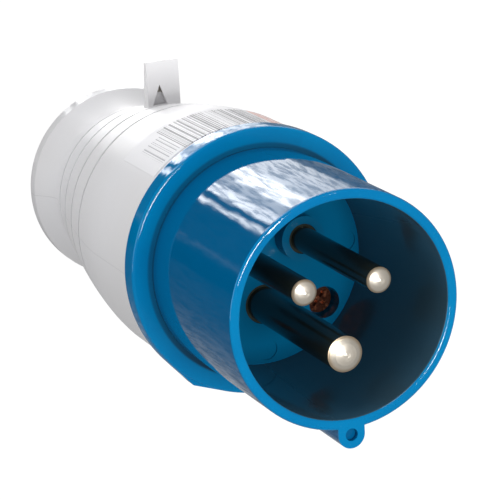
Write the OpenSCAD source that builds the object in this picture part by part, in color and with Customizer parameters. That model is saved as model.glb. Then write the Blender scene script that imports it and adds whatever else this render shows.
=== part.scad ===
// Three-pin industrial plug, 16 A pattern: blue moulded front, grey tapered rear housing.
// Origin: centre of the rear face. +Z runs along the plug towards its pins, +Y towards the lid lug.

/* [Overall] */
// Length from the rear face to the rim of the shroud
total_l = 122.5; // [118:0.5:130]
// Number of small facets that round shapes are drawn with
round_fn = 96; // [64:8:160]

/* [Shroud] */
// Outer diameter of the shroud round the pins
shroud_d = 46.2; // [45.4:0.1:47.4]
// Wall of the shroud
shroud_wall = 2.05; // [1.6:0.05:2.6]
// Depth from the rim to the contact face
shroud_depth = 39.8; // [37:0.2:41]
// Radius that softens the rim
rim_round = 0.6; // [0.2:0.1:0.8]
// Width of the key under the shroud
key_w = 5.4; // [4:0.1:7]
// How far the key stands out of the shroud
key_h = 3.8; // [3:0.1:5]
// Diameter of the round dimple in the key's end
dimple_d = 2.5; // [1.5:0.1:3]
// Depth of that dimple
dimple_depth = 1.2; // [0.5:0.1:3]

/* [Flange] */
// Outer diameter of the flange
flange_d = 54.4; // [54:0.1:58]
// Thickness of the flange
flange_t = 4.8; // [4:0.1:6]
// Distance from the rim back to the flange's front face
flange_setback = 40.2; // [38:0.2:42]
// Radius of the flange's edges
flange_round = 0.6; // [0.2:0.1:1]
// How far the pointer corner stands out of the flange
pointer_h = 0.87; // [0.5:0.05:1.6]
// Direction of the pointer corner, clockwise from the lug
pointer_angle = 214; // [200:1:230]

/* [Contact floor] */
// Thickness of the floor that the pins stand in
floor_t = 9; // [8:0.5:11]
// Diameter of the raised boss round each thin pin
boss_d = 9.2; // [8:0.1:10]
// Height of that boss
boss_h = 3.7; // [2:0.1:5]
// Diameter of a well for a carrier screw
well_d = 6.6; // [6.2:0.1:7]
// Depth of such a well
well_depth = 5; // [4:0.2:6]
// Distance from the centre of a well to the edge of the contact carrier
well_edge = 3.65; // [3.4:0.05:5]
// Direction of a well, counted from the key
well_angle = 51; // [46:1:56]
// Diameter of the shallow mould marks on the contact face
mark_d = 4.4; // [3:0.1:4.6]
// Depth of those marks
mark_depth = 0.3; // [0.1:0.05:0.6]
// Distance from the centre of such a mark to the shroud's inner wall
mark_edge = 2.85; // [2.4:0.05:4]
// Direction of the upper marks, clockwise and anticlockwise from the lug
mark_angle = 85; // [78:1:92]

/* [Pins] */
// Diameter of the line and neutral pins
thin_pin_d = 5; // [4.5:0.1:5.5]
// Diameter of the earth pin
earth_pin_d = 7; // [6:0.1:7.5]
// Diameter of the circle that the pins stand on
pin_circle_d = 17.5; // [17:0.1:18.5]
// How far the pin ends stay inside the rim
pin_inset = 0.5; // [0.2:0.1:3]
// Height of the domed pin ends
pin_dome = 0.9; // [0.4:0.1:1.6]
// How much wider the locating collar is than the terminal barrel
collar_step = 0.8; // [0.5:0.1:1.2]
// Thickness of the locating collar
collar_t = 2; // [1.5:0.1:3]
// How much thicker a pin is where it sits in the floor
shank_step = 0.5; // [0.4:0.05:0.8]
// Diameter of the thin pins' terminal barrels
thin_barrel_d = 8.4; // [7.8:0.1:8.8]
// Diameter of the earth pin's terminal barrel
earth_barrel_d = 9.2; // [8.6:0.1:9.4]
// Diameter of the wire hole in a barrel
wire_d = 4.4; // [3.6:0.1:4.8]
// Depth of the wire hole
wire_depth = 12; // [10:0.5:14]

/* [Terminal screws] */
// Thread diameter of a terminal screw
screw_d = 4; // [3.5:0.1:4.4]
// Head diameter of a terminal screw
screw_head_d = 6.4; // [5.6:0.1:7]
// Head height of a terminal screw
screw_head_h = 2.2; // [1.6:0.1:2.6]
// Gap left between the head and the barrel
screw_lift = 0.8; // [0.3:0.1:1.2]
// Distance from the barrel's rear end to the screw
screw_offset = 5.5; // [5:0.1:6.5]
// Thickness of the pressure plate under the screw
plate_t = 0.6; // [0.4:0.1:0.8]
// Length of the pressure plate along the wire
plate_l = 6; // [5:0.2:7]

/* [Contact carrier] */
// Length of the carrier that traps the pins
carrier_l = 22; // [21:0.5:24]
// Head diameter of a carrier screw
carrier_screw_head_d = 5.8; // [5:0.1:6]
// Head height of a carrier screw
carrier_screw_head_h = 1.8; // [1.4:0.1:2.4]
// Shank diameter of a carrier screw
carrier_screw_d = 3; // [2.6:0.1:3.4]
// Length of a carrier screw's shank
carrier_screw_l = 12; // [9:0.5:14]
// Wall between neighbouring barrels and the cross slots of the carrier
slot_w = 1.6; // [1:0.1:2.4]

/* [Housing joint] */
// Length of the spigot that plugs into the rear housing
spigot_l = 12; // [11:0.5:14]
// Wall of the spigot
spigot_wall = 2.6; // [2.4:0.1:3]
// Section diameter of the rubber ring on the spigot
seal_d = 2.4; // [2:0.1:2.8]
// Distance from the flange to the middle of that ring
seal_z = 3.6; // [3:0.1:4.5]
// Height of a bayonet lug over the spigot
lug_h = 1.2; // [0.8:0.1:1.4]
// Length of a bayonet lug along the axis
lug_l = 2.8; // [2:0.1:3.2]
// Angle that a bayonet lug takes up
lug_angle = 16; // [10:1:20]
// Turn from locked to free
unlock_angle = 30; // [20:1:40]
// Number of bayonet lugs
lug_count = 3; // [2:1:4]

/* [Rear housing] */
// Diameter of the straight part behind the flange
body_d = 52.8; // [52:0.1:54]
// Thickness of the housing round its mouth
mouth_wall = 3; // [2.6:0.1:3.4]
// Length of that straight part
body_l = 19.7; // [18:0.5:24]
// Wall of the housing
wall = 2.6; // [2:0.1:2.7]
// Diameter of the waist in front of the rear collar
waist_d = 36.4; // [35.6:0.2:38]
// Distance from the rear face to the waist
waist_z = 9.5; // [8.5:0.5:11]
// Power of the curve from the straight part to the waist
taper_power = 1.35; // [1.2:0.05:1.6]
// Diameter of the rear collar
rear_d = 42.8; // [41:0.2:44]
// Length of the rear collar
rear_l = 3.4; // [2.5:0.1:4.5]
// How much thinner the collar's wall is than the rest
bell_thinning = 0.8; // [0.4:0.1:1]
// Radius on the rear collar's edges
rear_round = 0.6; // [0.2:0.1:0.8]
// Number of grip grooves
groove_count = 4; // [2:1:5]
// Spacing of the grip grooves
groove_pitch = 9.3; // [8:0.1:10]
// Distance from the rear face to the first groove
groove_z = 15.3; // [14.5:0.1:17]
// Width of a grip groove
groove_w = 1; // [0.6:0.1:1.4]

/* [Lid lug] */
// Width of the lug that a socket's lid hooks over
hook_w = 7.3; // [6:0.1:9]
// Height of the lug's top above the axis
hook_top = 32.4; // [30:0.2:34]
// Thickness of the lug at its foot
hook_foot_t = 3; // [2.4:0.1:4]
// Thickness of the lug at its top
hook_top_t = 1.1; // [0.8:0.1:1.6]
// Distance from the rear face to the lug's front side
hook_z = 32.5; // [30:0.5:35]
// Height of the pointed hollow in the lug's foot
hollow_h = 4.4; // [3:0.1:6]
// Width of that hollow
hollow_w = 3.4; // [2:0.1:4]
// Depth of that hollow
hollow_depth = 1.7; // [1:0.1:2]
// Sideways place of that hollow
hollow_x = -0.9; // [-1.2:0.1:1.2]

/* [Cord gland] */
// Diameter of the plain bore that stands for the gland thread
gland_d = 30; // [29:0.2:30.6]
// How far the nut's head stands out over its thread
nut_lip = 0.5; // [0.3:0.1:0.8]
// Length of the nut's head
nut_head_l = 7; // [6:0.5:8]
// Length of the nut's threaded sleeve
nut_sleeve_l = 9.6; // [8.5:0.2:10.4]
// Diameter of the hole in the nut
nut_hole_d = 15.6; // [15:0.1:17]
// Thickness of the nut's end plate
nut_plate_t = 5; // [4:0.2:6]
// Number of finger scallops round the nut's head
scallop_count = 12; // [8:1:16]
// Wall of the nut's sleeve
nut_wall = 2.7; // [2.2:0.1:3]
// Depth of the scallops in the nut's head
scallop_depth = 1; // [0.6:0.1:1.3]
// Radius of a scallop
scallop_r = 2.2; // [1.8:0.1:3]
// Height of the plain rim over the scallops
scallop_rim = 1.2; // [0.8:0.1:2]
// Diameter of the cord hole in the bush
cord_d = 12; // [10:0.2:12.6]
// Length of the rubber bush
bush_l = 15.6; // [14:0.2:16.4]
// Length of the bush's front shoulder
bush_shoulder_l = 4; // [3:0.2:5]
// Wall of the clamping cage round the bush
cage_wall = 1.7; // [1.3:0.1:2]
// Number of fingers of the cage
finger_count = 8; // [6:1:10]
// Width of the slits between the fingers
slit_w = 1.2; // [0.8:0.1:1.6]
// Length of the closed hoop that the fingers stand on
cage_hoop_l = 2; // [1.4:0.1:3]
// Width of the thrust ring between its edges
ring_w = 3.4; // [2.6:0.1:3.6]
// Thickness of the thrust ring
ring_t = 1.8; // [1.4:0.1:2.4]
// Diameter of the hole in the wall that the bush bears on
seat_hole_d = 14; // [13:0.2:14.8]
// Thickness of the wall that the bush bears on
seat_t = 2.5; // [2:0.1:3]

/* [Rating label] */
// Thickness of the label
label_t = 0.15; // [0.1:0.05:0.3]
// Width of the label along the axis
label_w = 17.3; // [14:0.1:17.8]
// Left end of the label, clockwise from the lug
label_from = -45.5; // [-60:0.5:-30]
// Right end of the label, clockwise from the lug
label_to = 48; // [20:0.5:60]
// Distance from the housing's front edge to the label
label_edge = 1.7; // [0.8:0.1:1.8]

/* [Clearances] */
// Gap between the front shell and the housing, all round
joint_gap = 0.3; // [0.2:0.05:0.4]
// Gap of pieces that turn or slide on each other
turn_gap = 0.3; // [0.2:0.05:0.4]
// Gap of pieces that are only dropped in
drop_gap = 0.15; // [0.05:0.05:0.25]
// Gap between the cage and the inside of the nut
cage_gap = 0.5; // [0.3:0.05:0.7]
// Gap between a screw and its hole
screw_gap = 0.05; // [0.02:0.01:0.1]

/* [Hidden] */

$fn = round_fn;
eps = 0.01;
over = 1;

// Levels along the axis
rim_z = total_l;
face_z = rim_z - shroud_depth;
flange_front_z = rim_z - flange_setback;
flange_rear_z = flange_front_z - flange_t;
floor_rear_z = face_z - floor_t;
spigot_end_z = flange_rear_z - spigot_l;
carrier_rear_z = floor_rear_z - carrier_l;
housing_top_z = flange_rear_z - joint_gap;
taper_start_z = housing_top_z - body_l;
lug_z = spigot_end_z + turn_gap;

// Radii
shroud_r = shroud_d / 2;
shroud_in_r = shroud_r - shroud_wall;
body_r = body_d / 2;
mouth_r = body_r - mouth_wall;
spigot_r = mouth_r - joint_gap;
spigot_in_r = spigot_r - spigot_wall;
waist_r = waist_d / 2;
rear_r = rear_d / 2;
gland_r = gland_d / 2;
carrier_r = spigot_in_r - drop_gap;
pin_r_pos = pin_circle_d / 2;
well_r_pos = min(carrier_r, shroud_in_r) - well_edge;
mark_r_pos = shroud_in_r - mark_edge;
head_r = gland_r + nut_lip;

// Directions of the contacts, clockwise from the lug as seen from the pins
line_angle = 60;
neutral_angle = -60;
earth_angle = 180;

// Gland levels, from the rear face forwards
nut_top_z = nut_head_l + nut_sleeve_l;
ring_z = nut_plate_t + drop_gap;
bush_z = ring_z + ring_t + drop_gap;
bush_top_z = bush_z + bush_l;
bush_shoulder_z = bush_top_z - bush_shoulder_l;
seat_z = bush_top_z;
thread_top_z = nut_top_z + over;
nut_in_r = gland_r - turn_gap - nut_wall;
cage_r = nut_in_r - cage_gap;
bush_r = cage_r;
bush_bore_r = bush_r + drop_gap;
cage_in_r = cage_r - cage_wall;
bush_neck_r = cage_in_r - drop_gap;

// Radius of the housing at height z: straight, then tapering to the waist along a power curve
function taper_r(z) =
    z >= taper_start_z ? body_r :
    body_r - (body_r - waist_r) * pow((taper_start_z - z) / (taper_start_z - waist_z), taper_power);

// Radius of the flare between the waist and the rear collar
function flare_r(z, low_r, high_r) =
    low_r + (high_r - low_r) * (1 - cos(80 * (waist_z - z) / (waist_z - rear_l))) / (1 - cos(80));

TAPER_STEPS = 14;
FLARE_STEPS = 8;

taper_points = [for (i = [0:TAPER_STEPS])
    let (z = waist_z + (taper_start_z - waist_z) * i / TAPER_STEPS) [taper_r(z), z]];
flare_points = [for (i = [0:FLARE_STEPS - 1])
    let (z = rear_l + (waist_z - rear_l) * i / FLARE_STEPS) [flare_r(z, waist_r, rear_r), z]];

// Turns its children to a clock direction and moves them out to radius r
module at_clock(angle, r) {
    rotate([0, 0, -angle]) translate([0, r, 0]) children();
}

// A cylinder from level z0 up to z1
module rod(r, z0, z1) {
    translate([0, 0, z0]) cylinder(r = r, h = z1 - z0);
}

// A band of a revolved profile, centred on a clock direction
module arc_band(r0, r1, z0, z1, from, to) {
    rotate([0, 0, 90 - to]) rotate_extrude(angle = to - from) translate([r0, z0]) square([r1 - r0, z1 - z0]);
}

// Profile of a disc between two levels with rounded outer corners
module disc_profile(r, z0, z1, round_r) {
    translate([0, z0]) square([r - round_r, z1 - z0]);
    translate([0, z0 + round_r]) square([r, z1 - z0 - 2 * round_r]);
    translate([r - round_r, z0 + round_r]) circle(r = round_r);
    translate([r - round_r, z1 - round_r]) circle(r = round_r);
}

// ---- Rear housing: tapered grey moulding with lid lug, grip grooves and bayonet mouth ----

// Outer outline of the housing's half section, from the axis out
module housing_outline() {
    polygon(concat([[0, rear_round], [rear_r, rear_round]], flare_points, taper_points,
                   [[body_r, housing_top_z], [0, housing_top_z]]));
    square([rear_r - rear_round, rear_round + eps]);
    translate([rear_r - rear_round, rear_round]) circle(r = rear_round);
}

bell_wall = wall - bell_thinning;
bell_points = [for (i = [0:FLARE_STEPS])
    let (z = nut_head_l * i / FLARE_STEPS)
    [max(flare_r(max(z, rear_l), waist_r, rear_r) - bell_wall, head_r + 2 * turn_gap), z]];

cavity_z = seat_z + seat_t;
pocket_z = thread_top_z + wall;
tube_r = bush_bore_r + wall;
cavity_points = [for (i = [0:TAPER_STEPS])
    let (z = pocket_z + (housing_top_z - pocket_z) * i / TAPER_STEPS)
    [min(taper_r(z) - wall, mouth_r), z]];

// What is hollow in the half section
module housing_hollow() {
    polygon(concat([[0, -over], [bell_points[0][0], -over]], bell_points, [[0, nut_head_l]]));
    square([gland_r, thread_top_z]);
    square([bush_bore_r, seat_z]);
    square([seat_hole_d / 2, cavity_z + eps]);
    translate([0, cavity_z]) square([tube_r, housing_top_z - cavity_z + over]);
    polygon(concat([[tube_r, pocket_z]], cavity_points,
                   [[mouth_r, housing_top_z + over], [tube_r, housing_top_z + over]]));
}

// Entry slot and locking groove of one bayonet lug: the slot is a little deeper all round
module bayonet_track() {
    half = lug_angle / 2;
    free = atan(turn_gap / mouth_r) * 2;
    groove_r = mouth_r + lug_h;
    arc_band(mouth_r - over, groove_r, lug_z - turn_gap, lug_z + lug_l + turn_gap,
             -unlock_angle, half + free);
    arc_band(mouth_r - over, groove_r + drop_gap, lug_z - 2 * turn_gap, housing_top_z + over,
             -half - unlock_angle - free, half - unlock_angle + free);
}

// The upright lug, drawn in its side view and pulled to its width
module hook_lug() {
    foot = taper_r(hook_z - hook_foot_t) - wall / 2;
    difference() {
        translate([hook_w / 2, 0, 0]) rotate([0, -90, 0]) linear_extrude(hook_w)
            polygon([[hook_z - hook_foot_t, foot], [hook_z, foot], [hook_z, hook_top],
                     [hook_z - hook_top_t, hook_top]]);
        hollow_foot = taper_r(hook_z);
        translate([hollow_x, 0, hook_z - hollow_depth]) linear_extrude(hollow_depth + over)
            polygon([[-hollow_w / 2, hollow_foot], [hollow_w / 2, hollow_foot], [0, hollow_foot + hollow_h]]);
    }
}

module rear_housing() {
    color("#e4e4e6") {
        difference() {
            rotate_extrude() difference() {
                housing_outline();
                housing_hollow();
                for (i = [0:groove_count - 1])
                    let (z = groove_z + i * groove_pitch)
                        translate([taper_r(z), z]) circle(r = groove_w / 2, $fn = 24);
            }
            for (i = [0:lug_count - 1]) rotate([0, 0, i * 360 / lug_count]) bayonet_track();
        }
        hook_lug();
    }
}

// ---- Rating label: thin self-adhesive band on the straight part ----

module rating_label() {
    top_z = housing_top_z - label_edge;
    color("#f6f6f6") arc_band(body_r, body_r + label_t, top_z - label_w, top_z, label_from, label_to);
}

// ---- Cord gland: nut, thrust ring, cage with fingers and rubber bush ----

module gland_nut() {
    head_top_z = nut_head_l - drop_gap;
    color("#d9dadc") difference() {
        union() {
            rod(head_r, 0, head_top_z);
            rod(gland_r - turn_gap, head_top_z - eps, nut_top_z);
        }
        rod(nut_hole_d / 2, -over, nut_plate_t + over);
        rod(nut_in_r, nut_plate_t, nut_top_z + over);
        for (i = [0:scallop_count - 1])
            at_clock(i * 360 / scallop_count, head_r + scallop_r - scallop_depth)
                rod(scallop_r, -over, head_top_z - scallop_rim);
    }
}

module thrust_ring() {
    color("#c9cdd2") difference() {
        rod(nut_in_r - turn_gap, ring_z, ring_z + ring_t);
        rod(nut_in_r - turn_gap - ring_w, ring_z - over, ring_z + ring_t + over);
    }
}

module gland_cage() {
    color("#3b3d40") difference() {
        rod(cage_r, bush_z, bush_shoulder_z);
        rod(cage_in_r, bush_z - over, bush_shoulder_z + over);
        for (i = [0:finger_count - 1])
            at_clock((i + 0.5) * 360 / finger_count, cage_in_r + cage_wall / 2)
                translate([-slit_w / 2, -cage_wall, bush_z - over])
                    cube([slit_w, 2 * cage_wall, bush_shoulder_z - bush_z - cage_hoop_l + over]);
    }
}

module gland_bush() {
    color("#26272a") difference() {
        union() {
            rod(bush_neck_r, bush_z, bush_shoulder_z + eps);
            rod(bush_r, bush_shoulder_z, bush_top_z);
        }
        rod(cord_d / 2, bush_z - over, bush_top_z + over);
    }
}

// ---- Front shell: shroud, flange, contact floor and spigot in one moulding ----

// Tangent corner that marks the flange's edge
module pointer(r, z0, z1) {
    tip_r = r + pointer_h;
    half = acos(r / tip_r);
    rotate([0, 0, -pointer_angle]) translate([0, 0, z0]) linear_extrude(z1 - z0)
        polygon([[0, 0], [r * sin(half), r * cos(half)], [0, tip_r], [-r * sin(half), r * cos(half)]]);
}

// Half section of the shell, from the rim down to the spigot's end
module shell_section() {
    difference() {
        union() {
            disc_profile(shroud_r, flange_front_z - over, rim_z, rim_round);
            disc_profile(flange_d / 2, flange_rear_z, flange_front_z, flange_round);
            translate([0, spigot_end_z]) square([spigot_r, flange_rear_z - spigot_end_z + eps]);
        }
        translate([0, face_z]) square([shroud_in_r, shroud_depth - rim_round]);
        translate([0, rim_z - rim_round - eps]) square([shroud_in_r + rim_round, rim_round + over]);
        translate([0, spigot_end_z - over]) square([spigot_in_r, floor_rear_z - spigot_end_z + over]);
        translate([spigot_r - seal_d / 2 + drop_gap, flange_rear_z - seal_z]) square([seal_d, seal_d + 2 * drop_gap], center = true);
    }
    translate([shroud_in_r + rim_round, rim_z - rim_round]) circle(r = rim_round);
}

module key_rib() {
    nose_r = key_w / 2;
    nose_pos = shroud_r + key_h - nose_r;
    difference() {
        at_clock(earth_angle, 0) union() {
            translate([0, nose_pos, 0]) rod(nose_r, flange_front_z - eps, rim_z);
            translate([-nose_r, shroud_r - shroud_wall / 2, flange_front_z - eps])
                cube([key_w, nose_pos - shroud_r + shroud_wall / 2, shroud_depth + face_z - flange_front_z + eps]);
        }
        at_clock(earth_angle, nose_pos) rod(dimple_d / 2, rim_z - dimple_depth, rim_z + over);
    }
}

module bayonet_lug() {
    arc_band(spigot_r - spigot_wall / 2, spigot_r + lug_h, lug_z, lug_z + lug_l, -lug_angle / 2, lug_angle / 2);
}

// Through hole of a pin with the recess for its collar
module pin_hole(angle, pin_d, barrel_d) {
    at_clock(angle, pin_r_pos) {
        rod(pin_d / 2 + shank_step + screw_gap, floor_rear_z - over, face_z + boss_h + over);
        rod(barrel_d / 2 + collar_step + drop_gap, floor_rear_z - over, floor_rear_z + collar_t + drop_gap);
    }
}

module front_shell() {
    color("#0b5fa8") difference() {
        union() {
            rotate_extrude() shell_section();
            pointer(flange_d / 2, flange_rear_z + flange_round, flange_front_z - flange_round);
            key_rib();
            for (angle = [line_angle, neutral_angle])
                at_clock(angle, pin_r_pos) rod(boss_d / 2, face_z - eps, face_z + boss_h);
            for (i = [0:lug_count - 1]) rotate([0, 0, i * 360 / lug_count]) bayonet_lug();
        }
        pin_hole(line_angle, thin_pin_d, thin_barrel_d);
        pin_hole(neutral_angle, thin_pin_d, thin_barrel_d);
        pin_hole(earth_angle, earth_pin_d, earth_barrel_d);
        for (side = [-1, 1]) at_clock(earth_angle - side * well_angle, well_r_pos) {
            rod(well_d / 2, face_z - well_depth, face_z + over);
            rod(carrier_screw_d / 2 + 2 * screw_gap, floor_rear_z - over, face_z);
        }
        for (angle = [earth_angle, mark_angle, -mark_angle])
            at_clock(angle, mark_r_pos) rod(mark_d / 2, face_z - mark_depth, face_z + over);
    }
}

module housing_seal() {
    color("#1d1e20") rotate_extrude()
        translate([spigot_r - seal_d / 2 + drop_gap, flange_rear_z - seal_z]) circle(d = seal_d, $fn = 32);
}

// ---- Contact carrier: insulating block that traps the pins from behind ----

module barrel_way(angle, barrel_d) {
    screw_z = carrier_rear_z + screw_offset + drop_gap;
    at_clock(angle, pin_r_pos) {
        rod(barrel_d / 2 + drop_gap, carrier_rear_z - over, floor_rear_z + over);
        translate([0, 0, screw_z]) rotate([-90, 0, 0])
            cylinder(r = screw_head_d / 2 + 2 * drop_gap, h = carrier_r);
        translate([-screw_head_d / 2 - 2 * drop_gap, 0, carrier_rear_z - over])
            cube([screw_head_d + 4 * drop_gap, carrier_r, screw_offset + drop_gap + over]);
    }
}

module contact_carrier() {
    color("#d6d3c8") difference() {
        rod(carrier_r, carrier_rear_z, floor_rear_z);
        barrel_way(line_angle, thin_barrel_d);
        barrel_way(neutral_angle, thin_barrel_d);
        barrel_way(earth_angle, earth_barrel_d);
        for (side = [-1, 1]) at_clock(earth_angle - side * well_angle, well_r_pos)
            rod(carrier_screw_d / 2 + screw_gap, face_z - well_depth - carrier_screw_l - over, floor_rear_z + over);
        for (angle = [0, 120, 240]) rotate([0, 0, angle])
            translate([-slot_w / 2, -carrier_r - over, carrier_rear_z - over])
                cube([slot_w, carrier_r - pin_r_pos, carrier_l / 4]);
    }
}

// Pan head with a cross recess, on a plain shank
module carrier_screw(side) {
    seat = face_z - well_depth;
    cross_l = carrier_screw_head_d * 0.62;
    cross_w = carrier_screw_head_d * 0.14;
    cross_depth = carrier_screw_head_h * 0.55;
    color("#b87443") at_clock(earth_angle - side * well_angle, well_r_pos) difference() {
        union() {
            rod(carrier_screw_head_d / 2, seat, seat + carrier_screw_head_h);
            rod(carrier_screw_d / 2, seat - carrier_screw_l, seat + eps);
        }
        for (angle = [0, 90]) rotate([0, 0, angle])
            translate([-cross_l / 2, -cross_w / 2, seat + carrier_screw_head_h - cross_depth])
                cube([cross_l, cross_w, cross_depth + over]);
    }
}

module carrier_screw_left() { carrier_screw(-1); }
module carrier_screw_right() { carrier_screw(1); }

// ---- Contacts: turned pins with their terminal screws and pressure plates ----

barrel_rear_z = carrier_rear_z + drop_gap;

// Turned contact: domed pin, fitted shank, locating collar and terminal barrel
module pin(angle, pin_d, barrel_d, shank_top_z) {
    r = pin_d / 2;
    barrel_r = barrel_d / 2;
    tip_z = rim_z - pin_inset;
    dome_r = (r * r + pin_dome * pin_dome) / (2 * pin_dome);
    color("#c9c2b2") at_clock(angle, pin_r_pos) difference() {
        union() {
            rotate_extrude() intersection() {
                square([r, tip_z]);
                translate([0, tip_z - dome_r]) circle(r = dome_r, $fn = 180);
                translate([0, tip_z - dome_r]) square([r, dome_r]);
            }
            rod(r, floor_rear_z, tip_z - pin_dome);
            rod(r + shank_step, floor_rear_z, shank_top_z - 2 * drop_gap);
            rod(barrel_r + collar_step, floor_rear_z, floor_rear_z + collar_t);
            rod(barrel_r, barrel_rear_z, floor_rear_z + eps);
        }
        rod(wire_d / 2, barrel_rear_z - over, barrel_rear_z + wire_depth);
        translate([0, 0, barrel_rear_z + screw_offset]) rotate([-90, 0, 0])
            cylinder(r = screw_d / 2 + screw_gap, h = barrel_r + over);
    }
}

// Where the pressure plate lies in the wire hole, measured from the barrel's axis
plate_y = 0.2;

// Slotted terminal screw, driven from outside towards the axis
module terminal_screw(angle, barrel_d) {
    head_y = barrel_d / 2 + screw_lift;
    tip_y = plate_y + plate_t + drop_gap;
    color("#d2cfc6") at_clock(angle, pin_r_pos) translate([0, 0, barrel_rear_z + screw_offset]) difference() {
        rotate([-90, 0, 0]) union() {
            translate([0, 0, tip_y]) cylinder(r = screw_d / 2, h = head_y - tip_y + eps);
            translate([0, 0, head_y]) cylinder(r = screw_head_d / 2, h = screw_head_h);
        }
        translate([-screw_head_d, head_y + screw_head_h / 2, -screw_head_d * 0.08])
            cube([2 * screw_head_d, screw_head_h, screw_head_d * 0.16]);
    }
}

// Small leaf that spreads the screw's force over the strands
module pressure_plate(angle) {
    half = sqrt(pow(wire_d / 2, 2) - pow(plate_y + plate_t, 2)) - drop_gap;
    color("#b9bcc0") at_clock(angle, pin_r_pos)
        translate([-half, plate_y, barrel_rear_z + screw_offset - plate_l / 2]) cube([2 * half, plate_t, plate_l]);
}

module line_pin() { pin(line_angle, thin_pin_d, thin_barrel_d, face_z + boss_h); }
module neutral_pin() { pin(neutral_angle, thin_pin_d, thin_barrel_d, face_z + boss_h); }
module earth_pin() { pin(earth_angle, earth_pin_d, earth_barrel_d, face_z); }
module line_screw() { terminal_screw(line_angle, thin_barrel_d); }
module neutral_screw() { terminal_screw(neutral_angle, thin_barrel_d); }
module earth_screw() { terminal_screw(earth_angle, earth_barrel_d); }
module line_plate() { pressure_plate(line_angle); }
module neutral_plate() { pressure_plate(neutral_angle); }
module earth_plate() { pressure_plate(earth_angle); }

rear_housing();
rating_label();
gland_nut();
thrust_ring();
gland_cage();
gland_bush();
front_shell();
housing_seal();
contact_carrier();
carrier_screw_left();
carrier_screw_right();
line_pin();
neutral_pin();
earth_pin();
line_screw();
neutral_screw();
earth_screw();
line_plate();
neutral_plate();
earth_plate();
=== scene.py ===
import math

import bmesh
import bpy
from mathutils import Matrix, Vector


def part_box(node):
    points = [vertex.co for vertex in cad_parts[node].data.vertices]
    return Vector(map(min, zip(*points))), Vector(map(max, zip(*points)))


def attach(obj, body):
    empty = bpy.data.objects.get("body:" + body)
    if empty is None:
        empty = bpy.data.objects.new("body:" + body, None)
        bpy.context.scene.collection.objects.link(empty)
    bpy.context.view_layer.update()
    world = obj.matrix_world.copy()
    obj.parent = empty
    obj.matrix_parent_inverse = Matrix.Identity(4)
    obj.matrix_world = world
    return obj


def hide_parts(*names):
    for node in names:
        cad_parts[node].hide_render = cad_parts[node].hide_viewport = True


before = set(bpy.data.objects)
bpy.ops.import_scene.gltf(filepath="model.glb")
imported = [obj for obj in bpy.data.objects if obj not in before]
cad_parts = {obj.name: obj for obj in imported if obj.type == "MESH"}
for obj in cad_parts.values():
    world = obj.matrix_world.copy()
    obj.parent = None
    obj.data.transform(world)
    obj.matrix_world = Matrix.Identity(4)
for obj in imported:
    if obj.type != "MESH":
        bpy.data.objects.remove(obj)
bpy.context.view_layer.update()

# ---- Camera ----
# The plug stands on its cord end. A long lens looks down on its pins from over the lid lug and
# a little to the left, so the side of the shroud and the housing behind it both show.

CAMERA_AT = Vector((-0.18618, 0.13827, 0.54260))
CAMERA_RIGHT = Vector((0.92147, -0.05535, 0.38449))
CAMERA_UP = Vector((0.15102, 0.96298, -0.22331))
CAMERA_LENS = 187.2
SENSOR_WIDTH = 36.0

lens = bpy.data.cameras.new("camera")
lens.lens = CAMERA_LENS
lens.sensor_width = SENSOR_WIDTH
lens.clip_start = 0.01
lens.clip_end = 10.0
camera = bpy.data.objects.new("camera", lens)
bpy.context.scene.collection.objects.link(camera)
camera_back = CAMERA_RIGHT.cross(CAMERA_UP).normalized()
camera_up = camera_back.cross(CAMERA_RIGHT).normalized()
camera_right = camera_up.cross(camera_back).normalized()
camera_turn = Matrix((camera_right, camera_up, camera_back)).transposed().to_4x4()
camera.matrix_world = Matrix.Translation(CAMERA_AT) @ camera_turn
bpy.context.scene.camera = camera
bpy.context.scene.view_settings.view_transform = "Standard"

# ---- Floor and its glow in gloss ----
# A plain white table. In gloss only, it glows in a pattern round the plug: dark to the left, and
# bright in crumpled folds towards the lid lug. This glow is no lamp; it paints the highlights on
# the shroud.


MM = 0.001
TURNING_PITCH = 0.03 * MM
TURNING_TIP = 0.5


class Socket:
    """One output of a material's nodes, with arithmetic written as Python operators."""

    def __init__(self, maker, socket):
        self.maker = maker
        self.socket = socket

    def math(self, operation, *values):
        return self.maker.node("ShaderNodeMath", {"operation": operation}, dict(enumerate(values)))

    def __add__(self, other):
        return self.math("ADD", self, other)

    def __radd__(self, other):
        return self.math("ADD", other, self)

    def __sub__(self, other):
        return self.math("SUBTRACT", self, other)

    def __rsub__(self, other):
        return self.math("SUBTRACT", other, self)

    def __mul__(self, other):
        return self.math("MULTIPLY", self, other)

    def __rmul__(self, other):
        return self.math("MULTIPLY", other, self)

    def __truediv__(self, other):
        return self.math("DIVIDE", self, other)

    def __rtruediv__(self, other):
        return self.math("DIVIDE", other, self)

    def __pow__(self, other):
        return self.math("POWER", self, other)

    def __gt__(self, other):
        return self.math("GREATER_THAN", self, other)

    def __lt__(self, other):
        return self.math("LESS_THAN", self, other)

    def wave(self):
        return self.math("SINE", self)

    def size(self):
        return self.math("ABSOLUTE", self)

    def ramp(self, low, high, out_low=0.0, out_high=1.0):
        """Rises smoothly from one value to another as this number goes from low to high."""
        settings = {"interpolation_type": "SMOOTHSTEP"}
        inputs = {0: self, 1: low, 2: high, 3: out_low, 4: out_high}
        return self.maker.node("ShaderNodeMapRange", settings, inputs)


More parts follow.
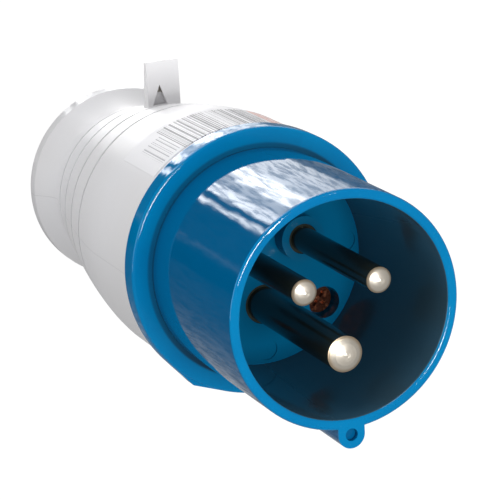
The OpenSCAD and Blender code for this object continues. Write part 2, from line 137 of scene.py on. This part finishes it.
class Material:
    """Builds one material out of nodes."""

    def __init__(self, name):
        self.material = bpy.data.materials.new(name)
        self.material.use_nodes = True
        self.tree = self.material.node_tree
        self.tree.nodes.clear()
        self.output = self.tree.nodes.new("ShaderNodeOutputMaterial")

    def node(self, kind, settings=None, inputs=None, output=0):
        made = self.tree.nodes.new(kind)
        for key, value in (settings or {}).items():
            if key == "stops":
                set_stops(made.color_ramp, value)
            else:
                setattr(made, key, value)
        for key, value in (inputs or {}).items():
            if isinstance(value, Socket):
                self.tree.links.new(value.socket, made.inputs[key])
            else:
                made.inputs[key].default_value = value
        return Socket(self, made.outputs[output])

    def point(self):
        return self.node("ShaderNodeTexCoord", output="Object")

    def parts(self, vector):
        separate = self.tree.nodes.new("ShaderNodeSeparateXYZ")
        self.tree.links.new(vector.socket, separate.inputs[0])
        return [Socket(self, output) for output in separate.outputs]

    def vector(self, x, y, z):
        return self.node("ShaderNodeCombineXYZ", {}, {0: x, 1: y, 2: z})

    def moved(self, vector, by):
        return self.node("ShaderNodeVectorMath", {"operation": "ADD"}, {0: vector, 1: by})

    def stretched(self, vector, by):
        return self.node("ShaderNodeVectorMath", {"operation": "MULTIPLY"}, {0: vector, 1: by})

    def radius(self, x, y):
        return (x * x + y * y) ** 0.5

    def noise(self, where, scale, detail=2.0, roughness=0.5, distortion=0.0):
        inputs = {"Vector": where, "Scale": scale, "Detail": detail, "Roughness": roughness}
        inputs["Distortion"] = distortion
        return self.node("ShaderNodeTexNoise", {}, inputs)

    def colours(self, factor, stops):
        return self.node("ShaderNodeValToRGB", {"stops": stops}, {0: factor})

    def mixed(self, factor, first, second):
        inputs = {"Factor": factor, 6: first, 7: second}
        return self.node("ShaderNodeMix", {"data_type": "RGBA"}, inputs, output=2)

    def bump(self, height, strength, distance, over=None):
        inputs = {"Strength": strength, "Distance": distance, "Height": height}
        if over is not None:
            inputs["Normal"] = over
        return self.node("ShaderNodeBump", {}, inputs)

    def surface(self, **inputs):
        named = {key.replace("_", " "): value for key, value in inputs.items()}
        return self.node("ShaderNodeBsdfPrincipled", {}, named)

    def bars(self, along, pitch):
        """Bars of uneven width across the given number, one to each pitch."""
        turn = along / pitch
        cell = turn.math("FLOOR", turn)
        dice = self.node("ShaderNodeTexWhiteNoise", {"noise_dimensions": "1D"}, {"W": cell})
        return (turn - cell) < dice * 0.75

    def turned(self, x, y, off_axis, where, relief):
        """The normal of a turned end, whose fine rings tip it towards and away from the centre."""
        turn = off_axis / TURNING_PITCH
        ring = turn.math("FLOOR", turn)
        tip = self.node("ShaderNodeTexWhiteNoise", {"noise_dimensions": "1D"}, {"W": ring}) - 0.5
        reach = tip * where * TURNING_TIP / (off_axis + 0.05 * MM)
        outward = self.vector(x * reach, y * reach, 0.0)
        to_world = {"vector_type": "VECTOR", "convert_from": "OBJECT", "convert_to": "WORLD"}
        outward = self.node("ShaderNodeVectorTransform", to_world, {0: outward})
        tipped = self.moved(self.bump(relief, 0.2, 0.02 * MM), outward)
        return self.node("ShaderNodeVectorMath", {"operation": "NORMALIZE"}, {0: tipped})

    def finish(self, shader):
        self.tree.links.new(shader.socket, self.output.inputs["Surface"])
        return self.material


def set_stops(ramp, stops):
    while len(ramp.elements) < len(stops):
        ramp.elements.new(1.0)
    for element, (place, shade) in zip(ramp.elements, stops):
        element.position = place
        element.color = shade


def grey(level):
    return (level, level, level, 1.0)


def shown_as(red, green, blue):
    """The colour that shows as these 0-255 display levels under plain light."""

    def linear(level):
        level = level / 255.0
        return level / 12.92 if level <= 0.04045 else ((level + 0.055) / 1.055) ** 2.4

    return (linear(red), linear(green), linear(blue), 1.0)


FLOOR_HALF = 3.0
FLOOR_ALBEDO = 0.6
FLOOR_SEEN = 0.88
FLOOR_WHITE = 1.12
GLOW_STRENGTH = 9.0
# Bearing round the plug, clockwise from the lid lug in degrees, and how bright the floor glows in
# gloss there
GLOW_BEARINGS = [
    (-180, 0.05),
    (-172, 0.045),
    (-150, 0.035),
    (-118, 0.01),
    (-90, 0.004),
    (-87, 0.0),
    (-75, 0.0),
    (-71, 0.004),
    (-68, 0.03),
    (-65, 0.004),
    (-40, 0.004),
    (-36, 0.01),
    (-34, 0.7),
    (-32, 0.7),
    (-30, 0.01),
    (-26, 0.01),
    (-24, 0.85),
    (-17, 0.7),
    (-14, 0.28),
    (-6, 0.36),
    (-3, 1.0),
    (9, 0.95),
    (13, 0.4),
    (44, 0.22),
    (48, 0.03),
    (62, 0.035),
    (90, 0.045),
    (180, 0.05),
]


def floor_material():
    maker = Material("white_table")
    x, y, z = maker.parts(maker.point())
    from_axis = maker.radius(x, y)
    bearing = maker.node("ShaderNodeMath", {"operation": "ARCTAN2"}, {0: x, 1: y}) * (180 / math.pi)
    around = maker.vector(bearing * 0.12, from_axis * 260.0, 0.0)
    waves = maker.noise(around, 1.0, 3.0, 0.6, 0.5) - 0.5
    shaken = bearing + waves * 9.0
    place = (shaken + 180.0) / 360.0
    stops = [((degrees + 180) / 360, grey(shade)) for degrees, shade in GLOW_BEARINGS]
    # The glow pattern round the plug, which paints the highlights on the shroud.
    glow_pattern = maker.colours(place, stops)
    folds = maker.noise(maker.vector(bearing * 0.14, from_axis * 90.0, 3.0), 1.6, 4.0, 0.7, 1.4)
    shine = folds.ramp(0.4, 0.56, 0.4, 1.1)
    level = maker.node("ShaderNodeRGBToBW", {}, {0: glow_pattern})
    in_gloss = maker.node("ShaderNodeLightPath", output="Is Glossy Ray")
    in_view = maker.node("ShaderNodeLightPath", output="Is Camera Ray")
    in_glass = maker.node("ShaderNodeLightPath", output="Is Transmission Ray")
    plain = maker.node("ShaderNodeBsdfDiffuse", {}, {"Color": grey(FLOOR_ALBEDO)})
    white = maker.node("ShaderNodeEmission", {}, {"Color": grey(1.0), "Strength": FLOOR_WHITE})
    # The floor glows this bright in gloss only, though it is no lamp: painted highlights for the
    # shroud.
    brightness = level * shine * GLOW_STRENGTH
    glow_in_gloss = maker.node("ShaderNodeEmission", {}, {"Color": grey(1.0), "Strength": brightness})
    seen = (in_view + in_glass) * FLOOR_SEEN
    shader = maker.node("ShaderNodeMixShader", {}, {0: seen, 1: plain, 2: white})
    return maker.finish(maker.node("ShaderNodeMixShader", {}, {0: in_gloss, 1: shader, 2: glow_in_gloss}))


def object_from_mesh(name, mesh, material):
    made = bpy.data.objects.new(name, mesh)
    bpy.context.scene.collection.objects.link(made)
    mesh.materials.clear()
    mesh.materials.append(material)
    return made


def add_floor():
    mesh = bpy.data.meshes.new("table_top")
    shape = bmesh.new()
    bmesh.ops.create_grid(shape, x_segments=1, y_segments=1, size=FLOOR_HALF)
    shape.to_mesh(mesh)
    shape.free()
    object_from_mesh("table_top", mesh, floor_material())


add_floor()

# ---- Light ----
# A white light tent all round, dim in gloss so that the blue stays deep. Soft lamps hang over the
# lid lug and to the left, low enough not to shine far into the shroud, and one over the pins.

TENT_LEVEL = 0.48
TENT_GLOSS = 0.1


def add_tent():
    world = bpy.data.worlds.new("light_tent")
    bpy.context.scene.world = world
    world.use_nodes = True
    tree = world.node_tree
    background = tree.nodes["Background"]
    background.inputs["Color"].default_value = grey(1.0)
    rays = tree.nodes.new("ShaderNodeLightPath")
    pick = tree.nodes.new("ShaderNodeMix")
    pick.inputs["A"].default_value = TENT_LEVEL
    pick.inputs["B"].default_value = TENT_GLOSS
    tree.links.new(rays.outputs["Is Glossy Ray"], pick.inputs["Factor"])
    seen = tree.nodes.new("ShaderNodeMix")
    seen.inputs["B"].default_value = 1.0
    tree.links.new(rays.outputs["Is Camera Ray"], seen.inputs["Factor"])
    tree.links.new(pick.outputs["Result"], seen.inputs["A"])
    tree.links.new(seen.outputs["Result"], background.inputs["Strength"])


add_tent()


def add_lamp(name, at, aim, size, power):
    data = bpy.data.lights.new(name, "AREA")
    data.shape = "SQUARE"
    data.size = size
    data.energy = power
    lamp = bpy.data.objects.new(name, data)
    bpy.context.scene.collection.objects.link(lamp)
    lamp.location = at
    lamp.rotation_euler = (Vector(aim) - Vector(at)).to_track_quat("-Z", "Y").to_euler()


PLUG_MIDDLE = (0.0, 0.0, 0.07)
add_lamp("lug_lamp", (-0.25, 0.8, 0.2), PLUG_MIDDLE, 0.5, 2.0)
add_lamp("left_lamp", (-0.85, 0.1, 0.14), PLUG_MIDDLE, 0.5, 1.4)
add_lamp("pin_lamp", (0.0, 0.0, 1.0), PLUG_MIDDLE, 0.2, 5.5)

# ---- Front shell ----
# One moulding of glossy blue nylon: shroud, flange with its pointer, contact floor and spigot.
# It comes out of the mould with a faint ripple, and handling leaves fine scuffs on its rim.

BLUE = shown_as(0, 126, 180)
BLUE_CLOUD = shown_as(0, 116, 172)
BLUE_SIDE_SHADE = shown_as(0, 96, 146)
BLUE_FLOOR_SHADE = shown_as(0, 92, 132)
BLUE_INSIDE_SHADE = shown_as(62, 82, 90)
BLUE_ROOT_SHADE = shown_as(24, 34, 40)
BLUE_WORN = shown_as(40, 140, 190)
SHROUD_OUTSIDE = 23.1 * MM
BOSS_TOP = 86.6 * MM
WELL_BOTTOM = 76.7 * MM
FLANGE_FACE = 82.3 * MM
SHROUD_INSIDE = 21.05 * MM
CONTACT_FACE = 82.7 * MM
RIM_TOP = 122.5 * MM


def blue_nylon():
    maker = Material("blue_nylon")
    point = maker.point()
    x, y, z = maker.parts(point)
    from_axis = maker.radius(x, y)
    cloud = maker.noise(point, 28.0, 3.0)
    face = maker.mixed(cloud.ramp(0.35, 0.65), BLUE, BLUE_CLOUD)
    # Painted shade: the shroud's outer side gets a darker blue than its faces.
    beside = from_axis > SHROUD_OUTSIDE - 0.1 * MM
    side = (z > FLANGE_FACE + 0.05 * MM) * (z < RIM_TOP - 0.35 * MM) * beside
    side_shaded = maker.mixed(side, face, BLUE_SIDE_SHADE)
    # Painted shade in the corner where the shroud meets the flange, fading to half towards the lug
    # and the left.
    near_root = (1.0 - from_axis.ramp(23.7 * MM, 24.3 * MM)) * (1.0 - z.ramp(82.9 * MM, 83.4 * MM))
    near_root = near_root * ((y - x) / (30.0 * MM)).ramp(-0.6, 0.9, 1.0, 0.5)
    root_shade = near_root * (from_axis > 22.5 * MM) * (z > FLANGE_FACE - 0.2 * MM)
    root_shaded = maker.mixed(root_shade * 0.9, side_shaded, BLUE_ROOT_SHADE)
    # Painted shade: the contact floor deep in the shroud gets a darker blue.
    contact_floor = (z < BOSS_TOP) * (z > WELL_BOTTOM) * (from_axis < SHROUD_INSIDE - 0.05 * MM)
    deep = maker.mixed(contact_floor, root_shaded, BLUE_FLOOR_SHADE)
    # Painted shade: the shroud's inner walls get a dark slate blue.
    in_shroud = (from_axis < SHROUD_INSIDE + 0.1 * MM) * (z > CONTACT_FACE + 0.15 * MM)
    wall = from_axis.ramp(SHROUD_INSIDE - 1.2 * MM, SHROUD_INSIDE - 0.1 * MM)
    shade = maker.mixed(in_shroud * wall * 0.9, deep, BLUE_INSIDE_SHADE)
    scuffs = maker.noise(maker.stretched(point, (1.0, 1.0, 0.12)), 1700.0, 2.0, 0.7)
    rim = z.ramp(RIM_TOP - 0.5 * MM, RIM_TOP)
    worn = scuffs.ramp(0.6, 0.72) * rim * 0.25
    base = maker.mixed(worn, shade, BLUE_WORN)
    ripple = maker.noise(maker.stretched(point, (1.0, 1.0, 0.6)), 520.0, 2.0, 0.55, 0.6)
    grain = maker.noise(point, 3600.0, 2.0)
    rippled = maker.bump(ripple, 0.5, 0.008 * MM)
    normal = maker.bump(grain, 0.05, 0.02 * MM, rippled)
    roughness = cloud.ramp(0.3, 0.7, 0.035, 0.06) + worn * 0.3 + in_shroud * 0.1
    return maker.finish(maker.surface(Base_Color=base, Roughness=roughness, Normal=normal))


def dressed(name, node, body, material, smooth_angle=32.0):
    """A merged, smooth-shaded copy of a solid, which then stands for it."""
    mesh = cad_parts[node].data.copy()
    mesh.name = name
    shape = bmesh.new()
    shape.from_mesh(mesh)
    bmesh.ops.remove_doubles(shape, verts=shape.verts, dist=2e-6)
    for face in shape.faces:
        face.smooth = True
    limit = math.radians(smooth_angle)
    for edge in shape.edges:
        edge.smooth = len(edge.link_faces) == 2 and edge.calc_face_angle(0.0) < limit
    shape.to_mesh(mesh)
    shape.free()
    piece = object_from_mesh(name, mesh, material)
    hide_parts(node)
    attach(piece, body)
    return piece


dressed("front_moulding", "front_shell", "front", blue_nylon())

# ---- Contact pins ----
# Three pins turned from brass and nickel plated, pressed through the contact floor from behind.
# Turning leaves fine rings on each domed end. The flanks carry painted shade and reflection.

PIN_CIRCLE = 8.75 * MM
NICKEL_END = shown_as(248, 240, 226)
NICKEL_RING = shown_as(214, 198, 172)
NICKEL_RIM_SHADE = shown_as(176, 146, 104)
NICKEL_FLANK_SHADE = shown_as(58, 64, 56)
DOME_H = 0.9 * MM


def nickel(name, centre, pin_r, top):
    maker = Material(name)
    point = maker.point()
    from_centre = maker.moved(point, (-centre[0], -centre[1], 0.0))
    x, y, z = maker.parts(from_centre)
    off_axis = maker.radius(x, y)
    rings = (off_axis * (2 * math.pi / (0.11 * MM))).wave()
    tarnish = maker.noise(maker.stretched(point, (1.0, 1.0, 0.35)), 520.0, 3.0)
    end = z.ramp(top - DOME_H - 0.35 * MM, top - DOME_H + 0.05 * MM)
    bright = maker.mixed(rings.ramp(-1.0, 1.0, 0.0, 0.3), NICKEL_END, NICKEL_RING)
    # Painted shade: each domed end darkens towards its rounded edge.
    rim_shaded = maker.mixed((off_axis / pin_r).ramp(0.72, 1.0, 0.0, 0.75), bright, NICKEL_RIM_SHADE)
    stained = maker.mixed(tarnish.ramp(0.55, 0.75) * 0.2, rim_shaded, NICKEL_RING)
    # Painted shade and reflection: the flanks get a dark olive colour, the ends the nickel.
    base = maker.mixed(end, NICKEL_FLANK_SHADE, stained)
    roughness = end.ramp(0.0, 1.0, 0.2, 0.3) + tarnish.ramp(0.4, 0.7, 0.0, 0.06)
    turned = maker.turned(x, y, off_axis, end, tarnish)
    metallic = end.ramp(0.0, 1.0, 0.5, 0.75)
    shader = maker.surface(
        Base_Color=base,
        Metallic=metallic,
        Roughness=roughness,
        Normal=turned,
    )
    return maker.finish(shader)


def pin_centre(clock):
    return (PIN_CIRCLE * math.sin(math.radians(clock)), PIN_CIRCLE * math.cos(math.radians(clock)))


for pin, clock, pin_r in (("line", 60, 2.5), ("neutral", -60, 2.5), ("earth", 180, 3.5)):
    pin_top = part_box(pin + "_pin")[1][2]
    plating = nickel(pin + "_nickel", pin_centre(clock), pin_r * MM, pin_top)
    dressed(pin + "_contact", pin + "_pin", "front", plating, 25.0)

# ---- Contact carrier ----
# A pressed block of cream thermoset that fits inside the spigot and holds the pins' barrels.
# Its faces carry a fine speckle of filler and faint cloudy patches.

CREAM = shown_as(222, 212, 188)
CREAM_SPECK = shown_as(176, 160, 130)


def cream_thermoset():
    maker = Material("cream_thermoset")
    point = maker.point()
    speck = maker.noise(point, 2400.0, 2.0, 0.7)
    cloud = maker.noise(point, 60.0, 2.0)
    filler = speck.ramp(0.58, 0.7) * 0.5 + cloud.ramp(0.4, 0.7) * 0.15
    base = maker.mixed(filler, CREAM, CREAM_SPECK)
    normal = maker.bump(speck, 0.15, 0.03 * MM)
    rough = cloud.ramp(0.3, 0.7, 0.5, 0.65)
    return maker.finish(maker.surface(Base_Color=base, Roughness=rough, Normal=normal))


dressed("carrier_block", "contact_carrier", "front", cream_thermoset())

# ---- Terminal screws and clamp plates ----
# Slotted screws of zinc-plated steel, driven across each pin's barrel on to a small clamp
# plate that saves the wire. The plating is satin, with drawing lines along each part.

ZINC = shown_as(206, 208, 206)
ZINC_SHADE = shown_as(158, 164, 168)


def brushed(name, light, shade, along, roughness):
    maker = Material(name)
    point = maker.point()
    lines = maker.noise(maker.stretched(point, along), 2600.0, 2.0, 0.6)
    stain = maker.noise(point, 180.0, 3.0)
    drawn = lines.ramp(0.35, 0.65) * 0.6 + stain.ramp(0.5, 0.8) * 0.4
    base = maker.mixed(drawn, light, shade)
    normal = maker.bump(lines, 0.25, 0.01 * MM)
    rough = stain.ramp(0.3, 0.7, roughness, roughness + 0.12)
    shader = maker.surface(Base_Color=base, Metallic=1.0, Roughness=rough, Normal=normal)
    return maker.finish(shader)


zinc_plate = brushed("zinc_plate", ZINC, ZINC_SHADE, (1.0, 0.08, 1.0), 0.28)
for pin in ("line", "neutral", "earth"):
    dressed(pin + "_terminal_screw", pin + "_screw", "front", zinc_plate, 25.0)
    dressed(pin + "_clamp_plate", pin + "_plate", "front", zinc_plate)

# ---- Carrier screws ----
# Two copper-plated pan heads with cross recesses, deep in the wells of the contact floor. They
# pull the carrier against it. The plating has dulled except where a driver has touched it.

COPPER = shown_as(232, 146, 108)
COPPER_DARK = shown_as(58, 34, 26)


def copper():
    maker = Material("dull_copper")
    point = maker.point()
    patch = maker.noise(point, 900.0, 3.0, 0.6)
    scratch = maker.noise(maker.stretched(point, (0.2, 1.0, 1.0)), 4200.0, 2.0)
    base = maker.mixed(patch.ramp(0.38, 0.5), COPPER, COPPER_DARK)
    rough = patch.ramp(0.35, 0.65, 0.18, 0.42)
    normal = maker.bump(patch + scratch * 0.4, 0.5, 0.05 * MM)
    shader = maker.surface(Base_Color=base, Metallic=1.0, Roughness=rough, Normal=normal)
    return maker.finish(shader)


copper_plate = copper()
for side in ("left", "right"):
    name = "carrier_screw_" + side
    dressed(name + "_head", name, "front", copper_plate, 25.0)

# ---- Housing seal ----
# A black rubber ring in a groove of the spigot, squeezed a little when the halves are twisted
# together. It is moulded, with a bloom of pale dust in its pores.

RUBBER = shown_as(44, 44, 46)
RUBBER_BLOOM = shown_as(78, 78, 80)


def rubber(name, dark, bloom):
    maker = Material(name)
    point = maker.point()
    pores = maker.noise(point, 1900.0, 3.0, 0.6)
    cloud = maker.noise(point, 90.0, 3.0)
    dusty = pores.ramp(0.5, 0.75) * 0.4 + cloud.ramp(0.45, 0.7) * 0.35
    base = maker.mixed(dusty, dark, bloom)
    normal = maker.bump(pores, 0.3, 0.04 * MM)
    rough = cloud.ramp(0.3, 0.7, 0.55, 0.75)
    return maker.finish(maker.surface(Base_Color=base, Roughness=rough, Normal=normal))


black_rubber = rubber("black_rubber", RUBBER, RUBBER_BLOOM)
dressed("spigot_ring", "housing_seal", "front", black_rubber, 60.0)

# ---- Rear housing ----
# The handle: one moulding of pale grey nylon with four grip grooves, a rear collar and the lug
# that holds a socket's lid. A parting line runs down both sides, with a little flash on it.

GREY = shown_as(236, 236, 239)
GREY_WARM = shown_as(230, 229, 230)
GREY_SHADE_AND_PARTING = shown_as(150, 150, 156)
GREY_HOLLOW_SHADE = shown_as(140, 134, 122)
LUG_FACE = 32.5 * MM
LUG_HOLLOW_X = -0.9 * MM
GROOVES = (15.3 * MM, 24.6 * MM, 33.9 * MM, 43.2 * MM)
PARTING_HALF = 0.07 * MM


def grey_nylon():
    maker = Material("grey_nylon")
    point = maker.point()
    x, y, z = maker.parts(point)
    cloud = maker.noise(point, 22.0, 3.0)
    grain = maker.noise(point, 2300.0, 3.0, 0.6)
    outside = maker.radius(x, y) > 17.0 * MM
    parting = (1.0 - (y.size() / PARTING_HALF).ramp(0.3, 1.0)) * outside * (z < 76.0 * MM)
    # Painted shade in the four grip grooves, patchy along them.
    groove = 0.0
    for level in GROOVES:
        groove = (1.0 - ((z - level).size() / (0.8 * MM)).ramp(0.2, 1.0)) + groove
    groove_shade = groove * cloud.ramp(0.3, 0.6, 0.6, 1.0) * outside
    # Painted shade inside the triangular hollow under the lid lug.
    between = (x - LUG_HOLLOW_X).size() < 2.25 * MM
    hollow_shade = (z < LUG_FACE - 0.12 * MM) * (z > LUG_FACE - 2.0 * MM) * between
    hollow_shade = hollow_shade * (y > 25.5 * MM) * (1.0 - y.ramp(27.0 * MM, 30.5 * MM))
    shade = maker.mixed(cloud.ramp(0.3, 0.7), GREY, GREY_WARM)
    shade = maker.mixed(hollow_shade * 0.85, shade, GREY_HOLLOW_SHADE)
    # One darker grey serves both the painted groove shade and the parting line's mark.
    base = maker.mixed(groove_shade * 0.5 + parting * 0.3, shade, GREY_SHADE_AND_PARTING)
    fine = maker.bump(grain, 0.12, 0.02 * MM)
    normal = maker.bump(parting, 0.6, 0.05 * MM, fine)
    rough = cloud.ramp(0.3, 0.7, 0.42, 0.52)
    return maker.finish(maker.surface(Base_Color=base, Roughness=rough, Normal=normal))


grey_plastic = grey_nylon()
dressed("housing_moulding", "rear_housing", "housing", grey_plastic)

# ---- Rating label ----
# A thin band of white self-adhesive film on the straight part of the housing, against the
# flange. Its printing is left generic: plain upright bars of black, grey and orange.

LABEL_WHITE = shown_as(240, 240, 243)
INK_BLACK = shown_as(66, 66, 74)
INK_GREY = shown_as(150, 150, 158)
INK_ORANGE = shown_as(226, 132, 96)
LABEL_LOW = 58.2 * MM
LABEL_HIGH = 75.5 * MM


def printed_film():
    maker = Material("printed_film")
    point = maker.point()
    x, y, z = maker.parts(point)
    clock = maker.node("ShaderNodeMath", {"operation": "ARCTAN2"}, {0: x, 1: y}) * (180 / math.pi)
    bars = maker.bars(clock, 1.3)
    fine_bars = maker.bars(clock + 90.0, 0.85)
    code = (clock > -27.0) * (clock < 17.0) * (z > LABEL_LOW + 1.4 * MM)
    warm = (clock > 17.0) * (clock < 40.0) * (z > LABEL_LOW + 0.9 * MM)
    upright = (z > LABEL_LOW + 4.4 * MM) * (z < LABEL_HIGH - 1.2 * MM)
    field = (clock > -39.0) * (clock < -28.0) * upright
    base = maker.mixed((bars * 0.8 + fine_bars * 0.35) * code, LABEL_WHITE, INK_BLACK)
    base = maker.mixed((bars * 0.6 + fine_bars * 0.3) * warm, base, INK_ORANGE)
    base = maker.mixed(fine_bars * field * 0.8, base, INK_GREY)
    wear = maker.noise(point, 700.0, 3.0)
    base = maker.mixed(wear.ramp(0.6, 0.8) * 0.3, base, LABEL_WHITE)
    normal = maker.bump(maker.noise(point, 160.0, 2.0), 0.15, 0.05 * MM)
    rough = wear.ramp(0.3, 0.7, 0.5, 0.6)
    return maker.finish(maker.surface(Base_Color=base, Roughness=rough, Normal=normal))


dressed("label_band", "rating_label", "housing", printed_film())

# ---- Clamping cage and bush ----
# Inside the cord end a black nylon cage of eight fingers sits round a rubber bush. The nut
# squeezes both on to the cord, which is what takes its pull.

CAGE_BLACK = shown_as(58, 59, 62)
CAGE_EDGE = shown_as(92, 93, 96)


def black_nylon():
    maker = Material("black_nylon")
    point = maker.point()
    grain = maker.noise(point, 1500.0, 3.0)
    cloud = maker.noise(point, 120.0, 2.0)
    scuffed = grain.ramp(0.55, 0.75) * 0.4 + cloud.ramp(0.4, 0.7) * 0.2
    base = maker.mixed(scuffed, CAGE_BLACK, CAGE_EDGE)
    normal = maker.bump(grain, 0.2, 0.03 * MM)
    rough = cloud.ramp(0.3, 0.7, 0.35, 0.5)
    return maker.finish(maker.surface(Base_Color=base, Roughness=rough, Normal=normal))


dressed("finger_cage", "gland_cage", "housing", black_nylon())
bush_rubber = rubber("bush_rubber", shown_as(52, 52, 54), shown_as(92, 92, 93))
dressed("cord_bush", "gland_bush", "housing", bush_rubber)

# ---- Thrust ring ----
# A zinc-plated steel washer between nut and cage, so that the turning nut presses on the
# fingers without twisting them. The nut's face has polished rings into it.


def ring_steel():
    maker = Material("ring_steel")
    point = maker.point()
    x, y, z = maker.parts(point)
    off_axis = maker.radius(x, y)
    rings = maker.noise(maker.vector(off_axis * 9000.0, 0.0, 0.0), 1.0, 3.0)
    stain = maker.noise(point, 260.0, 3.0)
    worn = rings.ramp(0.4, 0.6) * 0.5 + stain.ramp(0.5, 0.8) * 0.4
    base = maker.mixed(worn, ZINC, ZINC_SHADE)
    normal = maker.bump(rings, 0.3, 0.012 * MM)
    rough = stain.ramp(0.3, 0.7, 0.25, 0.4)
    shader = maker.surface(Base_Color=base, Metallic=1.0, Roughness=rough, Normal=normal)
    return maker.finish(shader)


dressed("thrust_washer", "thrust_ring", "thrust_ring", ring_steel())

# ---- Gland nut ----
# The grey nylon nut that closes the cord end: a scalloped head to grip, which handling has
# scuffed a little, and a sleeve that screws into the housing.

NUT_GREY = shown_as(222, 223, 226)
NUT_SCUFFED = shown_as(196, 196, 200)


def nut_grey():
    maker = Material("nut_grey")
    point = maker.point()
    x, y, z = maker.parts(point)
    cloud = maker.noise(point, 40.0, 3.0)
    grain = maker.noise(point, 2300.0, 3.0, 0.6)
    handled = maker.radius(x, y).ramp(14.6 * MM, 15.6 * MM) * grain.ramp(0.5, 0.7)
    scuffed = handled * 0.35 + cloud.ramp(0.4, 0.7) * 0.2
    base = maker.mixed(scuffed, NUT_GREY, NUT_SCUFFED)
    normal = maker.bump(grain, 0.12, 0.02 * MM)
    rough = cloud.ramp(0.3, 0.7, 0.4, 0.52)
    return maker.finish(maker.surface(Base_Color=base, Roughness=rough, Normal=normal))


nut_plastic = nut_grey()
dressed("scalloped_nut", "gland_nut", "gland_nut", nut_plastic)
